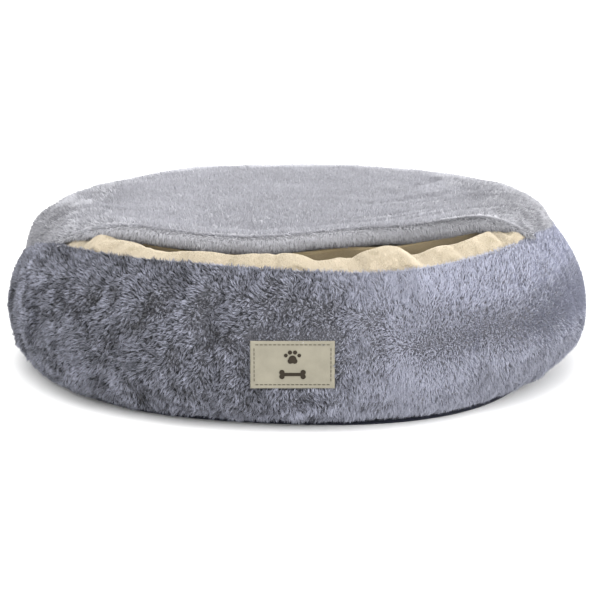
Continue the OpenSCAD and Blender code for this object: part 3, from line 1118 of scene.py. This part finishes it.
def make_roll():
    """The padded roll's skin, along the lip's arc from corner to corner."""
    stations, steps = 110, 20
    sweep = math.radians(88)
    xs = np.sin(np.linspace(-1, 1, stations) * sweep) * CORNER_X / math.sin(sweep)
    inset = PLUSH_DEPTH * 0.9
    points = []
    for x in xs:
        forward, up = roll_section(x, steps)
        lean = np.array([x, lip_y(x) - LIP_CENTRE_Y]) / LIP_R
        shrink = max(0.2, 1 - inset / max(roll_height(x) / 2, 1e-4))
        middle_z = lip_low_z(x) + roll_height(x) / 2 - 0.0016
        back = roll_depth(x) / 2
        px = x - lean[0] * back + lean[0] * forward * shrink
        py = lip_y(x) - lean[1] * back + lean[1] * forward * shrink
        points.append(np.stack([px, py, middle_z + up * shrink], -1))
    points = np.array(points)
    points[..., 2] += noise(points, 0.03, 41) * 0.0012
    points[..., 1] += noise(points, 0.02, 42) * 0.0008
    faces = [f[::-1] for f in capped_faces(stations, steps)]
    roll = new_object("lip_roll_backing", points, faces, plush_skin)
    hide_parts("lip_roll", "lip_roll_core")
    return roll


def hood_flow(root):
    """Towards the mouth, and down the shoulder near the seam."""
    forward = np.array([0, -1.0, 0]) + 0 * root
    outward = unit(root * np.array([1, 1, 0]))
    share = smooth(0.17, 0.25, np.hypot(root[:, 0], root[:, 1]))[:, None]
    return mixed(outward, forward, share) + 0.15 * outward


def plush_tone_and_painted_shade(root):
    """The left of the top is a little paler. Painted shade darkens the nap where the hood turns down
    on either side, and most of all by the left corner of the mouth, where shadow falls."""
    x, y, _ = root.T
    top = 0.25 + 0.09 * smooth(-0.02, -0.12, x) - 0.22 * smooth(-0.15, -0.21, x)
    # Painted shadow by the left corner of the mouth.
    corner = smooth(-0.215, -0.245, x) * smooth(0.03, -0.05, y)
    return top - 0.45 * smooth(-0.240, -0.268, x) - 0.36 * smooth(0.14, 0.23, x) - 0.45 * corner


def lip_painted_light(root):
    """Painted light and shade: paler along the roll's top, as if lit from above, and darker underneath and
    to the right, as shade.
    """
    x, _, z = root.T
    height = (z - lip_low_z(x)) / roll_height(x)
    up = 0.12 * smooth(0.45, 0.85, height) - 0.45 * smooth(0.46, 0.08, height)
    return up - 0.28 * smooth(0.02, 0.14, x)


def plush_brushed(root):
    return np.full(len(root), 0.55)


def roll_flow(root):
    """Forwards over the roll and down."""
    return np.array([0, -0.35, -1.0]) + 0 * root


def grow_hood_plush(hood, roll):
    pieces = grow(
        hood, "hood_plush", count=126000, length=0.0042, width=0.00085, lean=72,
        materials=plush_hairs, seed=17, flow=hood_flow, tone=plush_tone_and_painted_shade, brushed=plush_brushed,
        clump=0.003, pull=0.5, swirl=(120, 0.02), steps=2, parts=2,
    )
    pieces += grow(
        roll, "lip_plush", count=46000, length=0.0050, width=0.00068, lean=50,
        materials=lip_lit_hairs, seed=27, flow=roll_flow, tone=lip_painted_light, brushed=fully_brushed,
        clump=0.003, pull=0.4, swirl=(35, 0.03), steps=2,
    )
    for piece in pieces:
        bend_with_lip(piece)


# ==== Base, seams and labels ====


def make_base():
    """The base cloth, a little wavy at its edge."""
    count = 72
    a, b = disc_points(count)
    rho = np.hypot(a, b)
    turn = np.degrees(np.arctan2(a, -b))
    wave = 1 + 0.003 * np.sin(np.radians(turn * 9)) * smooth(0.8, 1, rho)
    scale = BASE_CLOTH_R * wave + foot_out(turn)
    top = np.stack([a * scale - BASE_SHIFT, b * scale, np.full_like(rho, BASE_TOP)], -1)
    base = new_object("base_cloth", top, grid_faces(count, count, False), base_cloth)
    thicken(base, BASE_TOP - 0.0005)
    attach(base, "bed")
    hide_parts("base_panel")


def tube_ring(name, centres, radius, material, sides=6):
    """A closed thread through the given centres."""
    ahead = unit(np.roll(centres, -1, 0) - np.roll(centres, 1, 0))
    side = unit(np.cross(ahead, np.array([0, 0, 1.0])))
    up = np.cross(side, ahead)
    angle = np.radians(np.arange(sides) * 360 / sides)
    ring = np.cos(angle)[None, :, None] * side[:, None] + np.sin(angle)[None, :, None] * up[:, None]
    points = centres[:, None] + radius * ring
    return new_object(name, points, ring_faces(len(centres), sides), material)


def ring_faces(n, sides):
    """Quads of a tube whose end joins its start."""
    i = np.arange(n)[:, None]
    j = np.arange(sides)[None, :]
    i2, j2 = (i + 1) % n, (j + 1) % sides
    return np.stack([i * sides + j, i * sides + j2, i2 * sides + j2, i2 * sides + j], -1).reshape(-1, 4)


def make_seams():
    """The thread of the rim seam and of the base seam, each weaving a little."""
    turn = np.linspace(-180, 180, 720, endpoint=False)
    r, z = shell(rim_angle(turn), FUR_DEPTH - 0.001)
    weave = 0.0004 * np.sin(np.arange(len(turn)) * 1.2)
    radius = 0.0006
    rim = tube_ring("rim_stitching", place(turn, r + weave, z), radius, seam_thread)
    base_points = place(turn, BASE_CLOTH_R - 0.004 + weave, BASE_TOP + 0.0004)
    base_points[:, 0] += BASE_LEAN - BASE_SHIFT
    base = tube_ring("base_stitching", base_points, radius, base_thread)
    for piece, node in ((rim, "rim_seam"), (base, "base_seam")):
        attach(piece, "bed")
        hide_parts(node)


def make_stitches(name, starts, ends, radius, material):
    """Short threads, each a slim six-sided bar that swells in its middle."""
    sides = 6
    verts, faces = [], []
    for p, q in zip(starts, ends):
        p, q = np.array(p), np.array(q)
        ahead = unit(q - p)
        side = unit(np.cross(ahead, [0, 0, 1.0]) + 1e-9)
        up = np.cross(side, ahead)
        first = len(verts)
        for t, swell in ((0, 0.5), (0.25, 1), (0.75, 1), (1, 0.5)):
            for angle in np.radians(np.arange(sides) * 360 / sides):
                out = math.cos(angle) * side + math.sin(angle) * up
                verts.append(p + (q - p) * t + radius * swell * out)
        faces += [[first + i for i in f] for f in capped_faces(4, sides)]
    return new_object(name, verts, faces, material)


def make_lip_stitches():
    """The row of stitches behind the roll."""
    half_row, pitch, length = 0.165, 0.0058, 0.0034
    starts, ends = [], []
    for x in np.arange(-half_row, half_row + 0.001, pitch):
        for target, along in ((starts, x), (ends, x + length)):
            y = float(lip_y(along)) + ROLL_DEEP
            z = float(lip_low_z(along) + roll_height(along)) - PLUSH_DEPTH - 0.0012
            target.append((along, y, z))
    stitches = make_stitches("lip_stitches", starts, ends, radius=0.0004, material=seam_thread)
    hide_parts("lip_stitching")
    bend_with_lip(stitches)


def make_corner_tacks():
    """Nine stitches across each corner of the mouth."""
    half_length, pitch = 0.004, 0.0009
    starts, ends = [], []
    for side in (-1, 1):
        turn = side * (CORNER_TURN + 1)
        r, z = shell(rim_angle(turn), FUR_DEPTH - 0.002)
        middle = place(np.array([turn]), r, z)[0]
        for i in range(9):
            shift = (i - 4) * pitch
            starts.append(middle + np.array([side * half_length, shift, -0.001]))
            ends.append(middle + np.array([-side * half_length, shift + 0.0004, 0.001]))
    tacks = make_stitches("corner_tack_stitches", starts, ends, radius=0.0005, material=seam_thread)
    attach(tacks, "bed")
    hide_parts("corner_tacks")


def make_label():
    """Woven label: its edges are folded under, so they are a little thicker."""
    low, high = LABEL_LOW, LABEL_HIGH
    columns, rows = 48, 30
    u, v = np.meshgrid(np.linspace(0, 1, columns), np.linspace(0, 1, rows))
    edge = np.minimum(np.minimum(u, 1 - u) * (high.x - low.x), np.minimum(v, 1 - v) * (high.z - low.z))
    fold = 0.0003 * (1 - smooth(0.0, 0.0012, edge)) - 0.00015 * bump(edge, 0.0035, 0.0006)
    x = low.x + u * (high.x - low.x)
    z = low.z + v * (high.z - low.z)
    y = low.y + 0.00002 + fold
    front = np.stack([x, y, z], -1)
    label = new_object("label_cloth", front, grid_faces(rows, columns, False), label_cloth)
    thicken(label, high.y - low.y - 0.0002)
    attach(label, "bed")
    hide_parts("label_patch")


def make_care_label():
    """A satin tag sewn into the base seam at the back, curling up a little."""
    low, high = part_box("care_label")
    columns, rows = 10, 16
    u, v = np.meshgrid(np.linspace(0, 1, columns), np.linspace(0, 1, rows))
    x = low.x + u * (high.x - low.x)
    y = low.y + v * (high.y - low.y)
    z = (low.z + high.z) / 2 + 0.004 * v**2 + 0.0006 * np.sin(u * 5 + v * 3)
    points = np.stack([x, y, z], -1)
    tag = new_object("care_tag", points, grid_faces(rows, columns, False), care_cloth)
    thicken(tag, thickness=0.0003)
    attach(tag, "bed")
    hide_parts("care_label")


def dress_cad_nodes():
    """Materials for the CAD nodes that stay in view as they are."""
    finishes = {
        "label_stitching": label_thread,
        "label_emblem": label_thread,
        "zip_tape": zip_cloth,
        "zip_coil": nylon,
        "zip_stops": zip_metal,
        "zip_slider": zip_metal,
        "zip_pull": zip_metal,
    }
    for name, material in finishes.items():
        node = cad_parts[name]
        node.data.materials.clear()
        node.data.materials.append(material)


# ==== Studio ====

CAMERA_DISTANCE = 2.0
CAMERA_ELEVATION = 11.7
CAMERA_LENS = 114.9
LOOK_AT = Vector((0.0, 0.0, 0.100))
AIM_DROP = 0.042


def make_camera():
    data = bpy.data.cameras.new("camera")
    data.lens = CAMERA_LENS
    data.sensor_width = 36
    camera = add_to_scene("camera", data)
    e = math.radians(CAMERA_ELEVATION)
    camera.location = LOOK_AT + CAMERA_DISTANCE * Vector((0, -math.cos(e), math.sin(e)))
    aim = LOOK_AT + Vector((0.002, 0, -AIM_DROP))
    camera.rotation_euler = (aim - camera.location).to_track_quat("-Z", "Y").to_euler()
    bpy.context.scene.camera = camera


def area_light(name, place_at, aim_at, size, watts):
    data = bpy.data.lights.new(name, "AREA")
    data.shape = "RECTANGLE"
    data.size, data.size_y = size
    data.energy = watts
    light = add_to_scene(name, data)
    light.location = place_at
    light.rotation_euler = (Vector(aim_at) - Vector(place_at)).to_track_quat("-Z", "Y").to_euler()


def make_studio():
    """A plain pale floor and world, one wide light overhead and one from the front right."""
    floor_material, tree = blank_material("studio_floor")
    set_surface(tree, Base_Color=(0.93, 0.93, 0.93, 1), Roughness=0.9, Specular_IOR_Level=0.1)
    side = 14
    corners = [(-side, -side, 0), (side, -side, 0), (side, side, 0), (-side, side, 0)]
    studio_floor = new_object("studio_floor", corners, [[0, 1, 2, 3]], floor_material, smooth_shade=False)
    world = bpy.data.worlds.new("studio")
    world.use_nodes = True
    background = world.node_tree.nodes["Background"]
    background.inputs["Color"].default_value = (1, 1, 1, 1)
    background.inputs["Strength"].default_value = 1.6
    bpy.context.scene.world = world
    area_light("overhead", (-0.2, -0.2, 2.4), aim_at=(0, 0, 0.1), size=(2.4, 2.0), watts=44)
    area_light("front_right", (2.0, -1.6, 1.0), aim_at=(0.05, 0, 0.08), size=(2.0, 1.4), watts=46)
    bpy.context.scene.view_settings.view_transform = "Standard"


# ==== The scene ====

make_camera()
make_studio()
dress_cad_nodes()
make_base()
make_floor()
make_cushion()
grow_lining_nap(make_lining())
wall = make_wall()
grow_wall_fur(wall)
hood, settled = make_hood()
roll = make_roll()
grow_hood_plush(hood, roll)
finish_hood(hood)
bend_with_lip(roll)
make_hood_lining(settled)
make_seams()
make_lip_stitches()
make_corner_tacks()
make_label()
make_care_label()
